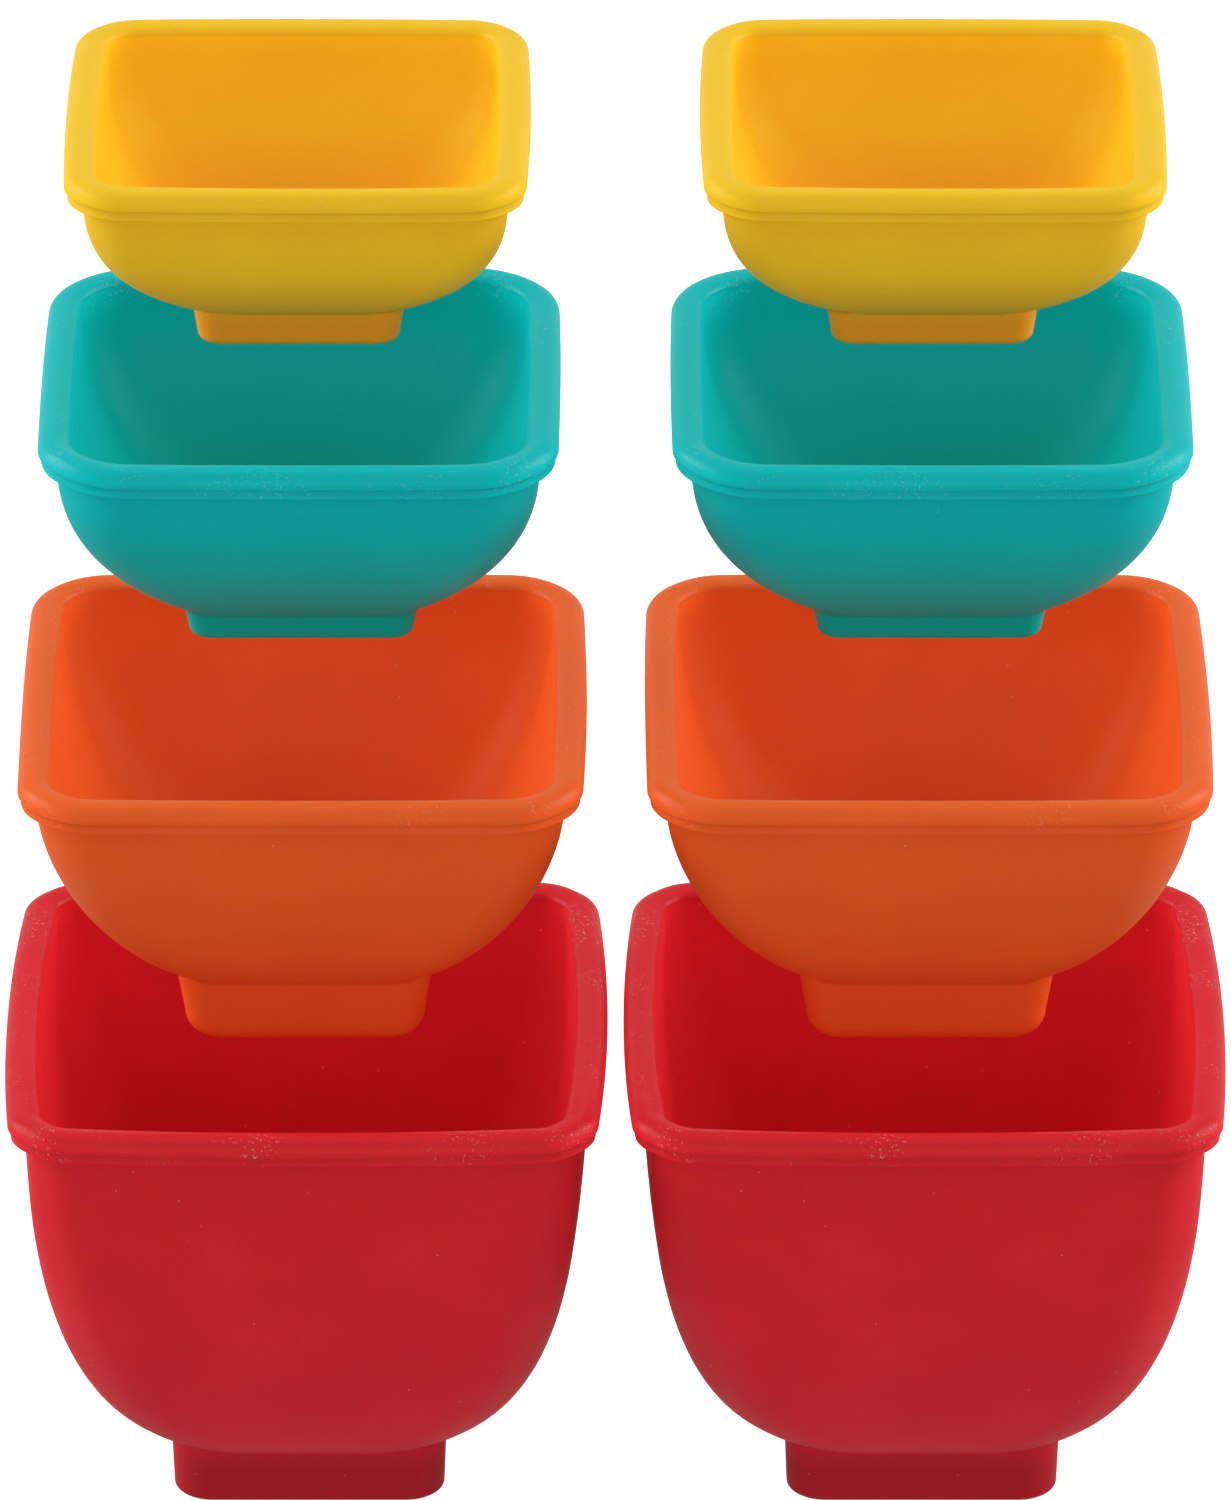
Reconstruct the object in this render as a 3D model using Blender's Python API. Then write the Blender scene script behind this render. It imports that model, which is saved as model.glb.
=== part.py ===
"""Two towers of square nesting cups, each cup moulded in one piece of silicone.

Each tower holds the same four cups: the largest stands on the table, and each smaller one
hangs above it on the same upright axis, ready to slide down into the cup below.
Metres, +Z up. The origin is on the table, midway between the two towers.
"""

import math

import bmesh
import bpy

# Sizes that every cup shares.
WALL = 0.0020                # silicone wall, measured square to its surface
FLOOR = 0.0022               # thickness of the floor inside a cup
FLOOR_FILLET = 0.0020        # where the floor meets the wall inside
FOOT_RECESS = 0.0030         # depth of the hollow under the foot
BEAD_OVERHANG = 0.0026       # how far the rim's bead stands out from the body
BEAD_HEIGHT = 0.0026         # from the crown of the bead to its lower edge
CROWN_DROP_OUTSIDE = 0.0022  # the crown rounds off this far on its outer side
CROWN_DROP_INSIDE = 0.0012   # and this far on its inner side, where a crease meets the wall
LIP_HEIGHT = 0.0016          # thin second ring under the bead
LIP_SETBACK = 0.0004         # the lip's face stands this far behind the bead's
SHELF_SLOPE = 0.4            # fall of the narrow shelf between the body and the foot
SMALLEST_CORNER = 0.0012     # tightest plan corner in the mould

# Layout of the two towers.
LARGEST_RIM_WIDTH = 0.0882
TOWER_GAP = 0.0022           # free space between the largest rims of the two towers
TOWERS = ("left", "right")

# The cups from the table upwards. rim_step is how much narrower a cup's rim is than the rim
# below it, which is what lets it nest. hang_gap is the free height between a cup's foot and the
# rim below. belly and shoulder are the two powers of the body's curve, and base_width is the
# width which that curve comes down to. side_swell is how far the middle of a side stands out.
CUPS = (
    {
        "name": "red_cup", "rim_step": 0.0, "hang_gap": 0.0,
        "height": 0.0720, "rim_corner": 0.0090, "side_swell": 0.0020,
        "base_width": 0.0456, "base_corner": 0.0165, "belly": 2.06, "shoulder": 1.69,
        "foot_height": 0.0102, "foot_width": 0.0405, "foot_taper": 0.0003,
        "foot_corner": 0.0055, "foot_edge": 0.0013, "foot_ring": 0.0040,
        "colour": (0.60, 0.012, 0.020),
    },
    {
        "name": "orange_cup", "rim_step": 0.0062, "hang_gap": 0.0017,
        "height": 0.0500, "rim_corner": 0.0114, "side_swell": 0.0006,
        "base_width": 0.0414, "base_corner": 0.0113, "belly": 1.68, "shoulder": 1.25,
        "foot_height": 0.0122, "foot_width": 0.0370, "foot_taper": 0.0010,
        "foot_corner": 0.0040, "foot_edge": 0.0050, "foot_ring": 0.0075,
        "colour": (0.72, 0.085, 0.012),
    },
    {
        "name": "teal_cup", "rim_step": 0.0074, "hang_gap": 0.0151,
        "height": 0.0360, "rim_corner": 0.0136, "side_swell": 0.00045,
        "base_width": 0.0380, "base_corner": 0.0085, "belly": 2.09, "shoulder": 1.05,
        "foot_height": 0.0052, "foot_width": 0.0334, "foot_taper": 0.0005,
        "foot_corner": 0.0030, "foot_edge": 0.0014, "foot_ring": 0.0040,
        "colour": (0.0, 0.33, 0.32),
    },
    {
        "name": "yellow_cup", "rim_step": 0.0083, "hang_gap": 0.0095,
        "height": 0.0315, "rim_corner": 0.0087, "side_swell": 0.0008,
        "base_width": 0.0274, "base_corner": 0.0095, "belly": 2.24, "shoulder": 1.42,
        "foot_height": 0.0055, "foot_width": 0.0301, "foot_taper": 0.0006,
        "foot_corner": 0.0032, "foot_edge": 0.0014, "foot_ring": 0.0040,
        "colour": (0.80, 0.50, 0.012),
    },
)

# How finely the curves are cut.
CORNER_STEPS = 4
SIDE_STEPS = 2
BODY_STEPS = 7
INSIDE_STEPS = 5
EDGE_STEPS = 2
SMOOTH_ANGLE = math.radians(38)


def outline(half_width, corner, swell):
    """Points of a rounded square, anticlockwise. Its sides swell in the middle, so the corners
    are drawn in by the swell."""
    corner = max(corner, SMALLEST_CORNER)
    straight = half_width - corner
    side = [(half_width, straight * (2 * i / SIDE_STEPS - 1)) for i in range(1, SIDE_STEPS)]
    for i in range(CORNER_STEPS + 1):
        turn = math.radians(90) * i / CORNER_STEPS
        side.append((straight + corner * math.cos(turn), straight + corner * math.sin(turn)))
    points = []
    for _ in range(4):
        points += side
        side = [(-y, x) for x, y in side]
    swollen = []
    for x, y in points:
        towards_corner = min(abs(x), abs(y)) / half_width
        drawn_in = 1 - swell / half_width * towards_corner**2
        swollen.append((x * drawn_in, y * drawn_in))
    return swollen


def body_curve(cup, rim_half, steps):
    """Outside of the body from under the lip down to the foot, its plan corners opening out on
    the way down.

    Each section is its half-width, plan corner, side swell and height."""
    top = cup["height"] - BEAD_HEIGHT - LIP_HEIGHT
    bottom = cup["foot_height"]
    top_half = rim_half - BEAD_OVERHANG
    base_half = cup["base_width"] / 2
    foot_half = cup["foot_width"] / 2
    top_corner = cup["rim_corner"] - BEAD_OVERHANG
    # The curve stops early where it reaches the foot before its own base.
    reach = 1.0
    if base_half < foot_half:
        at_foot = (foot_half - base_half) / (top_half - base_half)
        reach = (1 - at_foot ** cup["shoulder"]) ** (1 / cup["belly"])
    curve = []
    for i in range(steps + 1):
        # A sine gives the lower body, which bends most, more of the sections.
        drop = math.sin(math.radians(90) * i / steps)
        full = max(0.0, 1 - (reach * drop) ** cup["belly"]) ** (1 / cup["shoulder"])
        half = base_half + (top_half - base_half) * full
        corner = top_corner + (cup["base_corner"] - top_corner) * drop
        curve.append((half, corner, cup["side_swell"] * full, top - (top - bottom) * drop))
    return curve


def foot_joint(cup, rim_half):
    """Half-width and height of the notch where the body meets the foot.

    A body that is wider than the foot comes in to it over a narrow sloping shelf."""
    base_half, _, _, base_z = body_curve(cup, rim_half, 1)[-1]
    foot_half = cup["foot_width"] / 2
    return foot_half, base_z - SHELF_SLOPE * (base_half - foot_half)


def inside_curve(cup, rim_half):
    """Inside of the cup, from under the crown down to the middle of its floor.

    It is the outside moved in by the wall, and its floor dips into a foot that is deep enough."""
    outer = body_curve(cup, rim_half, INSIDE_STEPS)
    foot_half, notch_z = foot_joint(cup, rim_half)
    corner = cup["foot_corner"]
    curve = []
    for i, (half, body_corner, swell, z) in enumerate(outer):
        above = outer[max(i - 1, 0)]
        below = outer[min(i + 1, len(outer) - 1)]
        run, fall = above[0] - below[0], above[3] - below[3]
        length = math.hypot(run, fall)
        inward = WALL * fall / length
        curve.append((half - inward, body_corner - inward, swell, z + WALL * run / length))
    shoulder_z = notch_z + 0.8 * WALL
    curve.append((foot_half - 0.6 * WALL, corner, 0.0, shoulder_z))
    floor_z = FOOT_RECESS + FLOOR
    fillet = min(FLOOR_FILLET, shoulder_z - floor_z)
    well_half = foot_half - cup["foot_taper"] - WALL
    if shoulder_z - floor_z > 1.5 * fillet:
        curve.append((well_half, corner - WALL, 0.0, floor_z + fillet))
    curve.append((well_half - fillet, corner - WALL, 0.0, floor_z))
    return curve


def foot_curve(cup, rim_half):
    """The foot from the ceiling of its recess, round its lower edge and up to the notch."""
    foot_half, notch_z = foot_joint(cup, rim_half)
    bottom_half = foot_half - cup["foot_taper"]
    edge = cup["foot_edge"]
    recess_half = bottom_half - cup["foot_ring"]
    curve = [
        (recess_half, cup["foot_corner"] / 2, 0.0, FOOT_RECESS),
        (recess_half, cup["foot_corner"] / 2, 0.0, 0.0),
    ]
    for i in range(EDGE_STEPS + 1):
        turn = math.radians(90) * i / EDGE_STEPS
        inset = edge * (1 - math.sin(turn))
        z = edge * (1 - math.cos(turn))
        curve.append((bottom_half - inset, cup["foot_corner"] - inset / 2, 0.0, z))
    curve.append((foot_half, cup["foot_corner"], 0.0, notch_z))
    return curve


def rim_curve(cup, rim_half):
    """Lip, bead and crown, from the outside of the body over to the inner wall."""
    top = cup["height"]
    swell = cup["side_swell"]
    half_bead = (BEAD_OVERHANG + WALL) / 2
    crown_half = rim_half - half_bead
    lip_half = rim_half - LIP_SETBACK
    curve = [
        (lip_half, top - BEAD_HEIGHT - LIP_HEIGHT),
        (lip_half, top - BEAD_HEIGHT),
        (rim_half, top - BEAD_HEIGHT),
    ]
    for i in range(2 * EDGE_STEPS + 1):
        turn = math.radians(90) * i / EDGE_STEPS
        drop = CROWN_DROP_OUTSIDE if i < EDGE_STEPS else CROWN_DROP_INSIDE
        z = top - drop * (1 - math.sin(turn))
        curve.append((crown_half + half_bead * math.cos(turn), z))
    # Every section of the rim is set in from the same outer outline.
    return [(half, cup["rim_corner"] - rim_half + half, swell, z) for half, z in curve]


def cup_sections(cup, rim_half):
    """All sections of a cup in order, from the recess under its foot to its floor inside."""
    body = body_curve(cup, rim_half, BODY_STEPS)
    if body[-1][0] <= cup["foot_width"] / 2:
        body.pop()
    outside = foot_curve(cup, rim_half) + body[::-1] + rim_curve(cup, rim_half)
    return outside + inside_curve(cup, rim_half)


def loft(name, sections):
    """A closed mesh through the outlines of the sections, with a flat cap at each end."""
    shape = bmesh.new()
    rings = []
    for half_width, corner, swell, z in sections:
        points = outline(half_width, corner, swell)
        rings.append([shape.verts.new((x, y, z)) for x, y in points])
    for lower, upper in zip(rings, rings[1:]):
        for i in range(len(lower)):
            shape.faces.new((lower[i - 1], lower[i], upper[i], upper[i - 1]))
    shape.faces.new(rings[0][::-1])
    shape.faces.new(rings[-1])
    mesh = bpy.data.meshes.new(name)
    shape.to_mesh(mesh)
    shape.free()
    mesh.shade_smooth()
    mesh.set_sharp_from_angle(angle=SMOOTH_ANGLE)
    return mesh


def silicone(cup):
    """Soft satin silicone in the cup's own colour."""
    material = bpy.data.materials.new(cup["name"] + "_silicone")
    material.use_nodes = True
    shader = material.node_tree.nodes["Principled BSDF"]
    shader.inputs["Base Color"].default_value = (*cup["colour"], 1.0)
    shader.inputs["Roughness"].default_value = 0.5
    shader.inputs["Metallic"].default_value = 0.0
    material.diffuse_color = (*cup["colour"], 1.0)
    return material


def clear_scene():
    for thing in list(bpy.data.objects):
        bpy.data.objects.remove(thing, do_unlink=True)


def add_tower_axes(collection):
    """One upright axis for each tower, which its cups slide along."""
    spacing = LARGEST_RIM_WIDTH + TOWER_GAP
    axes = {}
    for i, side in enumerate(TOWERS):
        axes[side] = bpy.data.objects.new(side + "_tower_axis", None)
        axes[side].location.x = (i - 0.5) * spacing
        collection.objects.link(axes[side])
    return axes


def build():
    clear_scene()
    collection = bpy.data.collections.new("stacking_cup_tower")
    bpy.context.scene.collection.children.link(collection)
    axes = add_tower_axes(collection)
    rim_width = LARGEST_RIM_WIDTH
    rim_z = 0.0
    for cup in CUPS:
        rim_width -= cup["rim_step"]
        foot_z = rim_z + cup["hang_gap"]
        mesh = loft(cup["name"], cup_sections(cup, rim_width / 2))
        mesh.materials.append(silicone(cup))
        for side in TOWERS:
            piece = bpy.data.objects.new(f"{cup['name']}_{side}", mesh)
            piece.parent = axes[side]
            piece.location.z = foot_z
            collection.objects.link(piece)
        rim_z = foot_z + cup["height"]


build()
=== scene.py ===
import math

import bmesh
import bpy
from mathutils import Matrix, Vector, noise


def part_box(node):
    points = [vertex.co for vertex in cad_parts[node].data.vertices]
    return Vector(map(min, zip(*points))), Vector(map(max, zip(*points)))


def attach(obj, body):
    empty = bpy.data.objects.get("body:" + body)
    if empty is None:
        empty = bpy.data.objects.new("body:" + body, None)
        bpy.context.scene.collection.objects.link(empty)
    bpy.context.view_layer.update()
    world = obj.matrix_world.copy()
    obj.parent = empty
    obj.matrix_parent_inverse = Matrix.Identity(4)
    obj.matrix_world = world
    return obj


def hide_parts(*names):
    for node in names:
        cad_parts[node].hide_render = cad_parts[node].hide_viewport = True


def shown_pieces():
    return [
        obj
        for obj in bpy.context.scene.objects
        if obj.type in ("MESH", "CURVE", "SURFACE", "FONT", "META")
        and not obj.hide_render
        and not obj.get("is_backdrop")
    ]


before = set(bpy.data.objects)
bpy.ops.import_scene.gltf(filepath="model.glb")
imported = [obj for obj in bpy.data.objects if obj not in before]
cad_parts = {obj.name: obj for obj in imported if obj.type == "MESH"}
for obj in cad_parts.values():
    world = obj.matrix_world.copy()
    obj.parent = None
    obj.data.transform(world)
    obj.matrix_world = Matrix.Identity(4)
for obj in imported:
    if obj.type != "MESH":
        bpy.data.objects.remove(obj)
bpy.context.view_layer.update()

mm = 0.001
scene = bpy.context.scene
scene.view_settings.view_transform = "Standard"  # keeps the pigments as clean as they are
print("frame loaded:", len(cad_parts), "cups")

# What all the cups share, in mm. They come out of one family of moulds.
mould = {
    "wall": 2.0,             # silicone wall, square to its surface
    "floor": 2.2,            # floor inside the cup
    "floorFillet": 2.0,      # floor to wall, inside
    "recess": 3.0,           # hollow under the foot
    "recessFillet": 0.8,
    "ringEdge": 0.6,         # inner edge of the ring that stands on the table
    "beadOverhang": 2.6,     # rim bead, out from the body
    "beadHeight": 2.6,       # crown to the bead's lower edge
    "beadEdge": 0.22,        # small radius of that lower edge, which catches the light
    "crownOutside": 2.2,     # how far the crown falls on its outer side
    "crownInside": 1.2,      # and on its inner side
    "lipHeight": 1.6,        # thin second ring under the bead
    "lipSetback": 0.4,
    "lipLean": 0.35,         # the lip's face leans back, so it takes light from above
    "lipEdge": 0.25,
    "grooveDepth": 0.35,     # parting groove between bead and lip
    "grooveGap": 0.25,
    "undercut": 0.6,         # fillet from the body out to the lip
    "notchFillet": 0.6,      # where body and foot meet
    "shelfSlope": 0.4,
    "shoulder": 1.6,         # inside, over the edge of the well
    "sag": 0.16,             # soft rubber is never quite straight
    "sagSize": 46.0,
    "sagStep": 7.3,          # keeps the drift along x, y and z apart
    "sagRise": 18.0,         # how far above the foot it is at its fullest
    "recessCap": 3.0,        # flat middles, inside the last ring of the recess and of the floor
    "floorCap": 5.0,
    "mostOfSide": 0.45,      # share of a side that one radius may take
    "smallestCorner": 1.2,
}

# One dictionary for each cup, in mm. Width and height come from the frame.
redCup = {
    "name": "red_cup", "body": "red", "rimCorner": 9.0, "sideSwell": 2.0,
    "baseWidth": 45.6, "baseCorner": 16.5, "belly": 2.06, "shoulder": 1.69,
    "footHeight": 10.2, "footWidth": 40.5, "footTaper": 0.3, "footCorner": 5.5,
    "footEdge": 1.3, "footRing": 4.0, "seed": 3.0,
}
orangeCup = {
    "name": "orange_cup", "body": "orange", "rimCorner": 11.4, "sideSwell": 0.6,
    "baseWidth": 41.4, "baseCorner": 11.3, "belly": 1.68, "shoulder": 1.25,
    "footHeight": 12.2, "footWidth": 37.0, "footTaper": 1.0, "footCorner": 4.0,
    "footEdge": 5.0, "footRing": 7.5, "seed": 11.0,
}
tealCup = {
    "name": "teal_cup", "body": "teal", "rimCorner": 13.6, "sideSwell": 0.45,
    "baseWidth": 38.0, "baseCorner": 8.5, "belly": 2.09, "shoulder": 1.05,
    "footHeight": 5.2, "footWidth": 33.4, "footTaper": 0.5, "footCorner": 3.0,
    "footEdge": 1.4, "footRing": 4.0, "seed": 23.0,
}
yellowCup = {
    "name": "yellow_cup", "body": "yellow", "rimCorner": 8.7, "sideSwell": 0.8,
    "baseWidth": 27.4, "baseCorner": 9.5, "belly": 2.24, "shoulder": 1.42,
    "footHeight": 5.5, "footWidth": 30.1, "footTaper": 0.6, "footCorner": 3.2,
    "footEdge": 1.4, "footRing": 4.0, "seed": 37.0,
}
cups = [redCup, orangeCup, tealCup, yellowCup]

# How finely the curves are cut
steps = {"corner": 16, "side": 14, "body": 44, "crown": 22, "fillet": 6, "edge": 8, "cap": 5}


def ringPoints(half, corner, swell):
    # a rounded square whose sides stand out in the middle
    corner = max(corner, mould["smallestCorner"])
    straight = half - corner
    side = [(half, straight * (2 * i / steps["side"] - 1)) for i in range(1, steps["side"])]
    for i in range(steps["corner"] + 1):
        turn = math.radians(90) * i / steps["corner"]
        side.append((straight + corner * math.cos(turn), straight + corner * math.sin(turn)))
    points = []
    for _ in range(4):
        points += side
        side = [(-y, x) for x, y in side]
    swollen = []
    for x, y in points:
        drawnIn = 1 - swell / half * (min(abs(x), abs(y)) / half) ** 2
        swollen.append((x * drawnIn, y * drawnIn))
    return swollen


def bodySections(cup, rimHalf, height):
    # outside of the body, from under the lip down to the foot
    top = height - mould["beadHeight"] - mould["lipHeight"]
    topHalf = rimHalf - mould["beadOverhang"]
    topCorner = cup["rimCorner"] - mould["beadOverhang"]
    baseHalf, footHalf = cup["baseWidth"] / 2, cup["footWidth"] / 2
    reach = 1.0
    if baseHalf < footHalf:  # the curve meets the foot before its own base
        share = (footHalf - baseHalf) / (topHalf - baseHalf)
        reach = (1 - share ** cup["shoulder"]) ** (1 / cup["belly"])
    sections = []
    for i in range(steps["body"] + 1):
        drop = math.sin(math.radians(90) * i / steps["body"])
        full = max(0.0, 1 - (reach * drop) ** cup["belly"]) ** (1 / cup["shoulder"])
        sections.append((
            baseHalf + (topHalf - baseHalf) * full,
            topCorner + (cup["baseCorner"] - topCorner) * drop,  # plan corners open out with depth
            cup["sideSwell"] * full,
            top - (top - cup["footHeight"]) * drop,
            0.0,
        ))
    return sections


def apart(a, b):
    return math.hypot(a[0] - b[0], a[3] - b[3])


def soften(sections):
    # swaps each section that has a radius for a short curve through its neighbours
    soft = []
    for i, here in enumerate(sections):
        if here[4] == 0.0 or i in (0, len(sections) - 1):
            soft.append(here[:4])
            continue
        before, after = sections[i - 1], sections[i + 1]
        shares = [min(here[4] / apart(here, other), mould["mostOfSide"]) for other in (before, after)]
        for k in range(steps["fillet"] + 1):
            t = k / steps["fillet"]
            soft.append(tuple(
                here[n]
                + (before[n] - here[n]) * shares[0] * (1 - t) ** 2
                + (after[n] - here[n]) * shares[1] * t**2
                for n in range(4)
            ))
    return soft


def cupSections(cup, rimHalf, height):
    # every section of a cup in order: half width, plan corner, swell, height, radius
    body = bodySections(cup, rimHalf, height)
    footHalf, footCorner = cup["footWidth"] / 2, cup["footCorner"]
    notch = (footHalf, footCorner, 0.0, body[-1][3] - mould["shelfSlope"] * max(0.0, body[-1][0] - footHalf))
    bottomHalf = footHalf - cup["footTaper"]
    edge = cup["footEdge"]

    # underside
    recessHalf = bottomHalf - cup["footRing"]
    sections = [
        (recessHalf - mould["recessCap"], footCorner / 2, 0.0, mould["recess"], 0.0),
        (recessHalf, footCorner / 2, 0.0, mould["recess"], mould["recessFillet"]),
        (recessHalf, footCorner / 2, 0.0, 0.0, mould["ringEdge"]),
    ]
    for i in range(steps["edge"] + 1):
        turn = math.radians(90) * i / steps["edge"]
        inset = edge * (1 - math.sin(turn))
        sections.append((bottomHalf - inset, footCorner - inset / 2, 0.0, edge * (1 - math.cos(turn)), 0.0))

    # foot and body
    sections.append((*notch, mould["notchFillet"]))
    free = 1.1 * mould["notchFillet"]
    sections += [s for s in body[::-1] if apart(s, notch) > free][:-1]

    # lip, groove and bead
    def rim(half, z, radius):
        return (half, cup["rimCorner"] - rimHalf + half, cup["sideSwell"], z, radius)

    beadFoot = height - mould["beadHeight"]
    lipHalf = rimHalf - mould["lipSetback"]
    sections += [
        rim(rimHalf - mould["beadOverhang"], beadFoot - mould["lipHeight"], mould["undercut"]),
        rim(lipHalf, beadFoot - mould["lipHeight"], mould["lipEdge"]),
        rim(lipHalf - mould["lipLean"], beadFoot - mould["grooveGap"], mould["lipEdge"]),
        rim(lipHalf - mould["lipLean"] - mould["grooveDepth"], beadFoot - mould["grooveGap"] / 2, 0.1),
        rim(rimHalf, beadFoot, mould["beadEdge"]),
    ]
    halfBead = (mould["beadOverhang"] + mould["wall"]) / 2
    for i in range(steps["crown"] + 1):
        turn = math.radians(180) * i / steps["crown"]
        fall = mould["crownOutside"] if turn < math.radians(90) else mould["crownInside"]
        z = height - fall * (1 - math.sin(turn))
        sections.append(rim(rimHalf - halfBead + halfBead * math.cos(turn), z, 0.0))

    # inside, one wall in from the outside
    shoulder = (footHalf - 0.6 * mould["wall"], footCorner, 0.0, notch[3] + 0.8 * mould["wall"])
    for i, (half, corner, swell, z, _) in enumerate(body):
        above, below = body[max(i - 1, 0)], body[min(i + 1, len(body) - 1)]
        run, fall = above[0] - below[0], above[3] - below[3]
        inward = mould["wall"] * fall / math.hypot(run, fall)
        inner = (half - inward, corner - inward, swell, z + mould["wall"] * run / math.hypot(run, fall))
        if apart(inner, shoulder) > 1.1 * mould["shoulder"] and inner[0] > shoulder[0]:
            sections.append((*inner, 0.0))
    floorZ = mould["recess"] + mould["floor"]
    wellHalf = bottomHalf - mould["wall"]
    sections += [
        (*shoulder, mould["shoulder"]),
        (wellHalf, footCorner - mould["wall"], 0.0, floorZ, mould["floorFillet"]),
        (wellHalf - mould["floorCap"], footCorner - mould["wall"], 0.0, floorZ, 0.0),
    ]
    return soften(sections)


def sagged(point, cup):
    # slow drift of up to about a tenth of a millimetre, more at the free rim than at the foot
    x, y, z = point
    where = Vector((x, y, z * 0.5)) / mould["sagSize"]
    # three plain noises: the vector noise is seeded from the clock
    drift = Vector([noise.noise(where + Vector((cup["seed"], axis * mould["sagStep"], 0.0))) for axis in range(3)])
    share = mould["sag"] * min(1.0, max(0.0, z - cup["footHeight"]) / mould["sagRise"])
    return Vector((x, y, z)) + drift * share


def cupMesh(cup, rimHalf, height):
    shape = bmesh.new()
    rings = []
    outlines = []
    for half, corner, swell, z in cupSections(cup, rimHalf, height):
        outlines.append([(x, y, z) for x, y in ringPoints(half, corner, swell)])
    # both ends close in to a small flat face
    for place, ring in ((0, outlines[0]), (len(outlines), outlines[-1])):
        closing = []
        for i in range(1, steps["cap"]):
            share = 1 - i / steps["cap"]
            closing.append([(x * share, y * share, z) for x, y, z in ring])
        if place == 0:
            outlines = closing[::-1] + outlines
        else:
            outlines += closing
    for outline in outlines:
        rings.append([shape.verts.new(sagged(point, cup) * mm) for point in outline])
    for lower, upper in zip(rings, rings[1:]):
        for i in range(len(lower)):
            shape.faces.new((lower[i - 1], lower[i], upper[i], upper[i - 1]))
    shape.faces.new(rings[0][::-1])
    shape.faces.new(rings[-1])
    mesh = bpy.data.meshes.new(cup["name"] + "_mesh")
    shape.to_mesh(mesh)
    shape.free()
    mesh.shade_smooth()
    return mesh


def toLinear(hexColour):
    channels = [int(hexColour[i : i + 2], 16) / 255 for i in (1, 3, 5)]
    return tuple(c / 12.92 if c <= 0.04045 else ((c + 0.055) / 1.055) ** 2.4 for c in channels) + (1.0,)


def addNode(tree, kind, settings=None, links=None):
    node = tree.nodes.new("ShaderNode" + kind)
    for name, value in (settings or {}).items():
        if isinstance(name, int) or name in node.inputs:
            node.inputs[name].default_value = value
        else:
            setattr(node, name, value)
    for name, source in (links or {}).items():
        tree.links.new(source, node.inputs[name])
    return node


def perMetre(sizeInMm):
    return 1 / (sizeInMm * mm)  # pattern scale for a feature of this size


# Food-grade silicone rubber, pigmented right through and pressed in a fine-blasted steel mould.
# That gives the eye a satin skin with broad soft highlights, a little light let in at thin
# edges, and lint that clings to it.
silicone = {
    "ior": 1.41,
    "specular": 0.13,           # the blasted skin gives back less than a polished one
    "roughness": 0.50,
    "crownRoughness": 0.30,     # fingers and dishwashing rub the crown of the rim smoother
    "crownBand": 1.8,           # how far down that goes
    "crownFade": 1.2,
    # the rim band also carries the pale flecks that serve as painted highlight
    "rimBand": 4.6,             # bead and lip, where the scuffs are
    "rimFade": 1.0,
    "roughnessDrift": 0.06,
    "scatterWeight": 0.22,
    "scatterScale": 0.0026,     # light wanders a couple of mm
    "driftSize": 16.0,          # slow clouding where the rubber flowed
    "driftEdges": (0.35, 0.65),
    "glossEdges": (0.30, 0.70),
    "flowSize": 9.0,
    "flowHeight": 0.010,
    "grainSize": 0.45,          # the blasting is nearer 0.05 mm, drawn coarser so that it shows
    "grainHeight": 0.008,
    "lintSize": 4.2,            # one possible speck in each patch of this size
    "speckRadius": 0.17,
    "speckStrength": 0.35,
    "dustColour": "#E8DEDA",
    "scuffSize": 0.42,          # pale flecks along the bead
    "scuffEdges": (0.62, 0.68),
    "scuffPatch": 9.0,          # they come in patches this big
    "patchEdges": (0.48, 0.66),
}

# Painted shade: the crown colour draws the top of the rim darker, and the low colour draws the rubber warmer and
# darker towards the foot. lowFrom is the height in mm at which that starts.
pigments = {
    "red_silicone": {
        "light": "#DC2430", "deep": "#D6222D", "crown": "#BC1E27", "low": "#AE1B25", "lowFrom": 12.0,
        "lint": 0.75, "scuffsAndPaintedHighlights": 0.28,
    },
    "orange_silicone": {
        "light": "#EB5F24", "deep": "#E75C22", "crown": "#D85A21", "low": "#E2541F", "lowFrom": 20.0,
        "lint": 0.25, "scuffsAndPaintedHighlights": 0.12,
    },
    "teal_silicone": {
        "light": "#00B9BB", "deep": "#00B5B7", "crown": "#00A8AC", "low": "#00A499", "lowFrom": 32.0,
        "lint": 0.30, "scuffsAndPaintedHighlights": 0.12,
    },
    "yellow_silicone": {
        "light": "#F1C220", "deep": "#EFBE1E", "crown": "#DCB21E", "low": "#F09420", "lowFrom": 17.0,
        "lint": 0.20, "scuffsAndPaintedHighlights": 0.08,
    },
}


def heightBand(tree, heights, start, end):
    # 0 at start and 1 at end, both heights in mm
    band = addNode(tree, "MapRange", {"From Min": start * mm, "From Max": end * mm}, {"Value": heights})
    return band.outputs["Result"]


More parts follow.
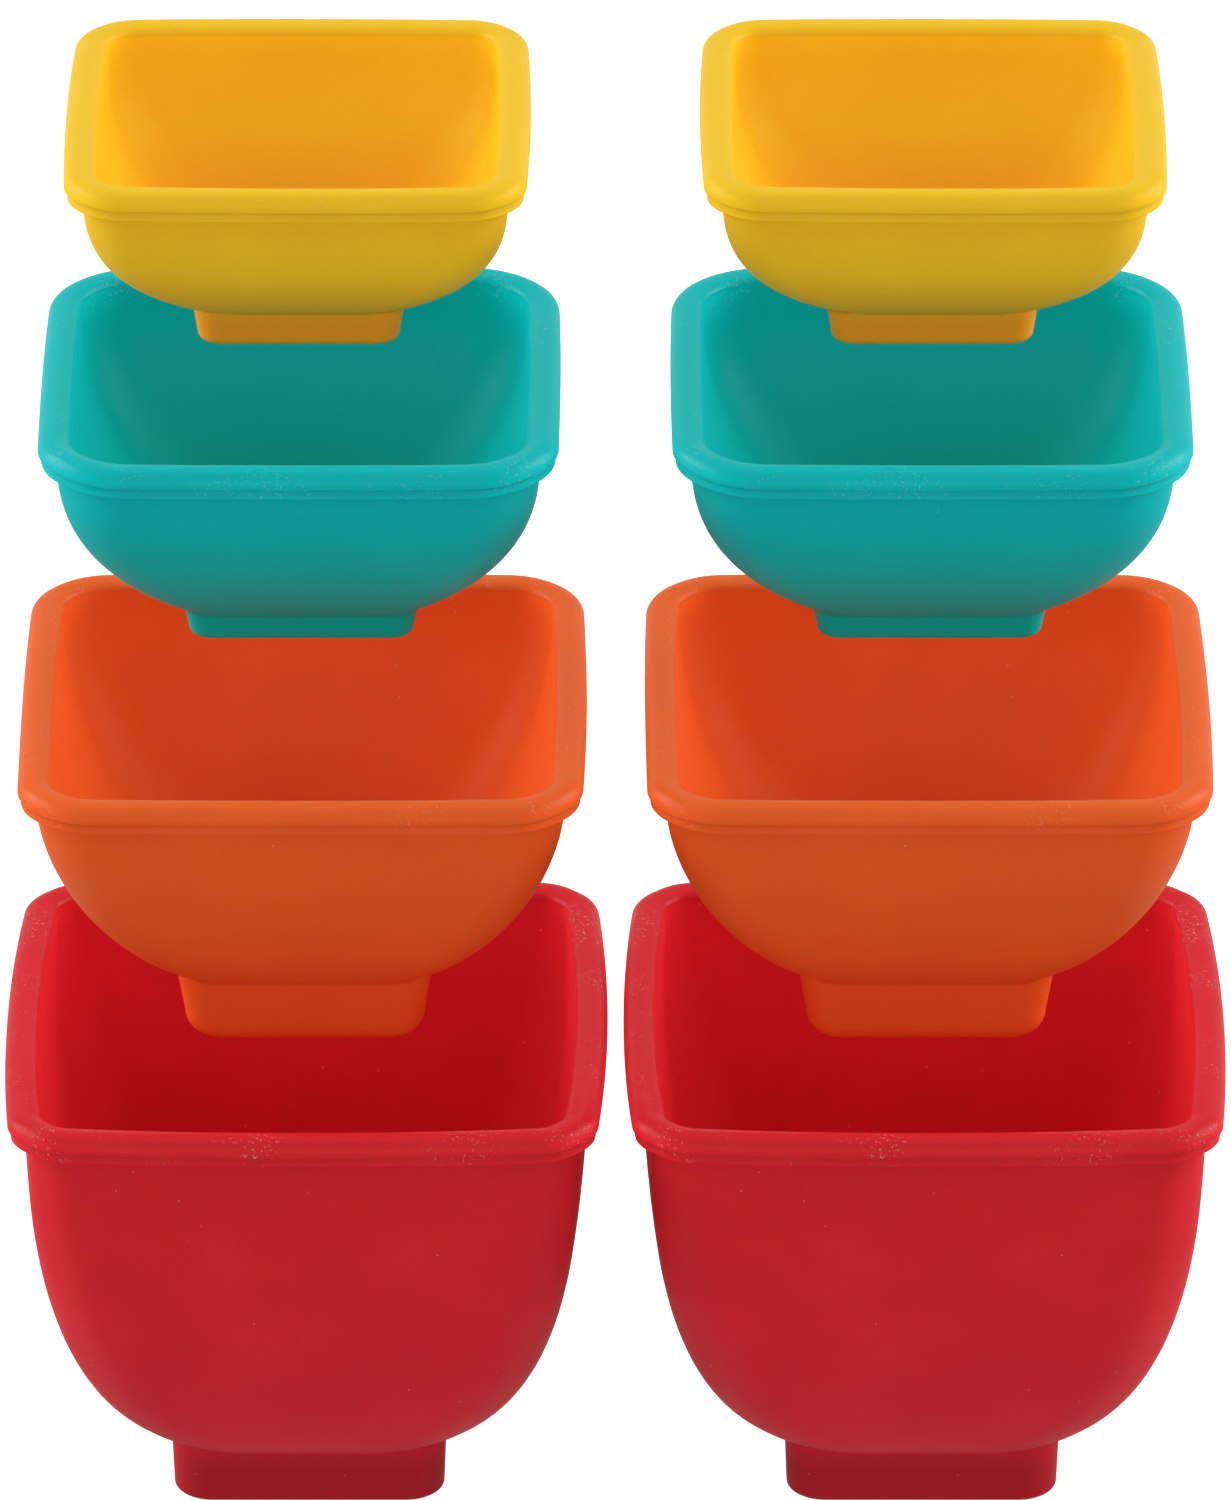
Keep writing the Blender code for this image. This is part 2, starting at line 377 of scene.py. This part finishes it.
def mouldedSilicone(name, pigment, height, footHeight):
    material = bpy.data.materials.new(name + "_moulded")
    material.use_nodes = True
    tree = material.node_tree
    tree.nodes.clear()
    place = addNode(tree, "TexCoord").outputs["Object"]

    # slow clouding of the pigment
    driftLow, driftHigh = silicone["driftEdges"]
    cloud = addNode(tree, "TexNoise", {"Scale": perMetre(silicone["driftSize"]), "Detail": 3.0}, {"Vector": place})
    tone = addNode(tree, "MapRange", {"From Min": driftLow, "From Max": driftHigh}, {"Value": cloud.outputs["Fac"]})
    colour = addNode(
        tree, "Mix", {"data_type": "RGBA", 6: toLinear(pigment["light"]), 7: toLinear(pigment["deep"])},
        {0: tone.outputs["Result"]},
    )

    # painted shade: warmer and darker towards the foot, and darker on the crown of the rim
    heights = addNode(tree, "SeparateXYZ", {}, {"Vector": place}).outputs["Z"]
    low = heightBand(tree, heights, pigment["lowFrom"], footHeight / 2)
    crownFoot = height - silicone["crownBand"]
    crown = heightBand(tree, heights, crownFoot, crownFoot + silicone["crownFade"])
    rimFoot = height - silicone["rimBand"]
    rim = heightBand(tree, heights, rimFoot, rimFoot + silicone["rimFade"])
    # painted shade: warmer and darker towards the foot
    lowShaded = addNode(
        tree, "Mix", {"data_type": "RGBA", 7: toLinear(pigment["low"])}, {0: low, 6: colour.outputs[2]}
    )
    # painted shade: the crown of the rim drawn darker than the rest
    crownShaded = addNode(
        tree, "Mix", {"data_type": "RGBA", 7: toLinear(pigment["crown"])}, {0: crown, 6: lowShaded.outputs[2]}
    )

    # lint and dust: a speck in some of the cells
    cells = addNode(tree, "TexVoronoi", {"Scale": perMetre(silicone["lintSize"])}, {"Vector": place})
    reach = silicone["speckRadius"] / silicone["lintSize"]
    speck = addNode(
        tree, "MapRange", {"From Min": reach * 0.5, "From Max": reach, "To Min": 1.0, "To Max": 0.0},
        {"Value": cells.outputs["Distance"]},
    )
    chance = addNode(tree, "SeparateColor", {}, {"Color": cells.outputs["Color"]})
    chosen = addNode(
        tree, "Math", {"operation": "LESS_THAN", 1: pigment["lint"]}, {0: chance.outputs["Red"]}
    )
    dust = addNode(
        tree, "Math", {"operation": "MULTIPLY"}, {0: speck.outputs["Result"], 1: chosen.outputs["Value"]}
    )
    faint = addNode(tree, "Math", {"operation": "MULTIPLY", 1: silicone["speckStrength"]}, {0: dust.outputs["Value"]})
    dusty = addNode(
        tree, "Mix", {"data_type": "RGBA", 7: toLinear(silicone["dustColour"])},
        {0: faint.outputs["Value"], 6: crownShaded.outputs[2]},
    )

    # pale scuff flecks on the bead, partly painted highlight: fine flecks inside a few patches
    fleck = addNode(tree, "TexNoise", {"Scale": perMetre(silicone["scuffSize"]), "Detail": 2.0}, {"Vector": place})
    patch = addNode(tree, "TexNoise", {"Scale": perMetre(silicone["scuffPatch"]), "Detail": 1.0}, {"Vector": place})
    fleckLow, fleckHigh = silicone["scuffEdges"]
    patchLow, patchHigh = silicone["patchEdges"]
    flecks = addNode(
        tree, "MapRange", {"From Min": fleckLow, "From Max": fleckHigh}, {"Value": fleck.outputs["Fac"]}
    )
    patches = addNode(
        tree, "MapRange", {"From Min": patchLow, "From Max": patchHigh}, {"Value": patch.outputs["Fac"]}
    )
    inPatch = addNode(
        tree, "Math", {"operation": "MULTIPLY"}, {0: flecks.outputs["Result"], 1: patches.outputs["Result"]}
    )
    onRim = addNode(
        tree, "Math", {"operation": "MULTIPLY"}, {0: inPatch.outputs["Value"], 1: rim}
    )
    scuffsAndPaintedHighlights = addNode(tree, "Math", {"operation": "MULTIPLY", 1: pigment["scuffsAndPaintedHighlights"]}, {0: onRim.outputs["Value"]})
    # pale flecks mixed into the colour: partly scuffs, partly painted highlight
    withScuffsAndHighlights = addNode(
        tree, "Mix", {"data_type": "RGBA", 7: toLinear(silicone["dustColour"])},
        {0: scuffsAndPaintedHighlights.outputs["Value"], 6: dusty.outputs[2]},
    )

    # the skin is a touch glossier in some places than in others
    glossLow, glossHigh = silicone["glossEdges"]
    gloss = addNode(
        tree, "MapRange",
        {
            "From Min": glossLow, "From Max": glossHigh,
            "To Min": silicone["roughness"] - silicone["roughnessDrift"] / 2,
            "To Max": silicone["roughness"] + silicone["roughnessDrift"] / 2,
        },
        {"Value": cloud.outputs["Fac"]},
    )
    polish = addNode(
        tree, "MapRange", {"To Min": 0.0, "To Max": silicone["crownRoughness"] - silicone["roughness"]},
        {"Value": crown},
    )
    skin = addNode(tree, "Math", {"operation": "ADD"}, {0: gloss.outputs["Result"], 1: polish.outputs["Result"]})

    # relief: slow flow ripples with the blasted grain on top
    flow = addNode(tree, "TexNoise", {"Scale": perMetre(silicone["flowSize"]), "Detail": 1.0}, {"Vector": place})
    flowRelief = addNode(
        tree, "Bump", {"Strength": 1.0, "Distance": silicone["flowHeight"] * mm}, {"Height": flow.outputs["Fac"]}
    )
    grain = addNode(
        tree, "TexNoise", {"Scale": perMetre(silicone["grainSize"]), "Detail": 2.0}, {"Vector": place}
    )
    relief = addNode(
        tree, "Bump", {"Strength": 1.0, "Distance": silicone["grainHeight"] * mm},
        {"Height": grain.outputs["Fac"], "Normal": flowRelief.outputs["Normal"]},
    )

    shader = addNode(
        tree, "BsdfPrincipled",
        {
            "IOR": silicone["ior"],
            "Specular IOR Level": silicone["specular"],
            "Subsurface Weight": silicone["scatterWeight"],
            "Subsurface Radius": toLinear(pigment["light"])[:3],
            "Subsurface Scale": silicone["scatterScale"],
        },
        {
            "Base Color": withScuffsAndHighlights.outputs[2],
            "Roughness": skin.outputs["Value"],
            "Normal": relief.outputs["Normal"],
        },
    )
    addNode(tree, "OutputMaterial", {}, {"Surface": shader.outputs["BSDF"]})
    return material


for cup in cups:
    slotName = cup["body"] + "_silicone"
    low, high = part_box(cup["name"] + "_left")
    rimHalf = (high.x - low.x) / 2 / mm
    height = (high.z - low.z) / mm
    mesh = cupMesh(cup, rimHalf, height)
    mesh.materials.append(mouldedSilicone(slotName, pigments[slotName], height, cup["footHeight"]))
    for side in ("left", "right"):
        node = cup["name"] + "_" + side
        low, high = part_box(node)
        piece = bpy.data.objects.new(cup["body"] + "_silicone_cup_" + side, mesh)
        scene.collection.objects.link(piece)
        piece.location = ((low.x + high.x) / 2, (low.y + high.y) / 2, low.z)
        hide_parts(node)
        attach(piece, cup["body"] + "_" + side)
    print(f"{cup['body']} cups: {rimHalf * 2:.1f} mm wide, {height:.1f} mm tall, {len(mesh.polygons)} faces")

studio = {
    "floorSize": 9.0,
    "floorColour": "#F4F4F3",
    "floorGlow": 0.35,
    "floorRoughness": 0.9,
    "floorSpecular": 0.1,
    "floorDrop": 0.05,       # mm below the cups' feet
    "skyLight": 0.50,
}

# A light tent: pale air all round, a wide soft ceiling and a softbox on each side, which keep fronts
# and insides nearly as bright as rims. Each level of cups has its own ceiling and sides, which the
# cups above don't shade, so that every cup looks as it would alone on the table.
levelBoxes = {
    "leftBox": {"at": (-1.25, 0.3, 0.65), "size": (0.9, 0.9), "power": 15.0},
    "rightBox": {"at": (1.25, 0.3, 0.65), "size": (0.9, 0.9), "power": 15.0},
    "ceiling": {"at": (0.0, 0.1, 1.5), "size": (2.4, 2.4), "power": 8.5},
}
softboxes = {
    "frontFill": {"at": (0.0, -2.0, 0.7), "size": (1.2, 0.8), "power": 9.0},
}
aimPoint = Vector((0.0, 0.0, 0.11))

floorMesh = bpy.data.meshes.new("studio_floor")
reachOut = studio["floorSize"] / 2
floorMesh.from_pydata(
    [(-reachOut, -reachOut, 0), (reachOut, -reachOut, 0), (reachOut, reachOut, 0), (-reachOut, reachOut, 0)],
    [], [(0, 1, 2, 3)],
)
floor = bpy.data.objects.new("studio_floor", floorMesh)
floor.location.z = -studio["floorDrop"] * mm
floor.visible_diffuse = False  # or its glow would light the undersides
floor.visible_glossy = False
scene.collection.objects.link(floor)
paper = bpy.data.materials.new("seamless_paper")  # matt white background paper
paper.use_nodes = True
paperShader = paper.node_tree.nodes["Principled BSDF"]
paperShader.inputs["Base Color"].default_value = toLinear(studio["floorColour"])
paperShader.inputs["Roughness"].default_value = studio["floorRoughness"]
paperShader.inputs["Specular IOR Level"].default_value = studio["floorSpecular"]
paperShader.inputs["Emission Color"].default_value = toLinear(studio["floorColour"])
paperShader.inputs["Emission Strength"].default_value = studio["floorGlow"]
floorMesh.materials.append(paper)
floor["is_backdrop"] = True


def addSoftbox(name, box, lights=None):
    lamp = bpy.data.lights.new(name, "AREA")
    lamp.shape = "RECTANGLE"
    lamp.size, lamp.size_y = box["size"]
    lamp.energy = box["power"]
    holder = bpy.data.objects.new(name, lamp)
    holder.location = box["at"]
    holder.rotation_euler = (aimPoint - Vector(box["at"])).to_track_quat("-Z", "Y").to_euler()
    holder.visible_camera = False
    scene.collection.objects.link(holder)
    if lights is not None:
        holder.light_linking.receiver_collection = lights
        holder.light_linking.blocker_collection = lights


for name, box in softboxes.items():
    addSoftbox(name, box)
levels = {cup["body"]: bpy.data.collections.new(cup["body"] + "_level") for cup in cups}
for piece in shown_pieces():
    levels[piece.name.split("_")[0]].objects.link(piece)
levels["paper"] = bpy.data.collections.new("paper_level")
levels["paper"].objects.link(floor)
for level, collection in levels.items():
    for name, box in levelBoxes.items():
        addSoftbox(level + "_" + name, box, collection)

# the air seen by the camera is paler than the light that it gives
world = bpy.data.worlds.new("studio_air")
world.use_nodes = True
air = world.node_tree
air.nodes.clear()
sky = addNode(air, "Background", {"Color": (1.0, 1.0, 1.0, 1.0), "Strength": studio["skyLight"]})
backdrop = addNode(air, "Background", {"Color": toLinear(studio["floorColour"]), "Strength": 1.0})
path = addNode(air, "LightPath")
seen = addNode(
    air, "MixShader", {},
    {0: path.outputs["Is Camera Ray"], 1: sky.outputs["Background"], 2: backdrop.outputs["Background"]},
)
addNode(air, "OutputWorld", {}, {"Surface": seen.outputs["Shader"]})
scene.world = world
print("studio lit:", len(softboxes) + len(levels) * len(levelBoxes), "softboxes")

cameraSetup = {
    "distance": 2.2,        # m, far enough back that all four cups keep their proportions
    "aroundHeight": 0.1422,
    "elevation": 24.94,     # degrees
    "pitch": 25.61,
    "lens": 364.9,          # mm on a 36 mm long side
}
eye = bpy.data.cameras.new("studio_camera")
eye.sensor_width = 36.0
eye.lens = cameraSetup["lens"]
eye.clip_start, eye.clip_end = 0.1, 30.0
camera = bpy.data.objects.new("studio_camera", eye)
rise = math.radians(cameraSetup["elevation"])
camera.location = (
    0.0,
    -cameraSetup["distance"] * math.cos(rise),
    cameraSetup["aroundHeight"] + cameraSetup["distance"] * math.sin(rise),
)
camera.rotation_euler = (math.radians(90 - cameraSetup["pitch"]), 0.0, 0.0)
scene.collection.objects.link(camera)
scene.camera = camera
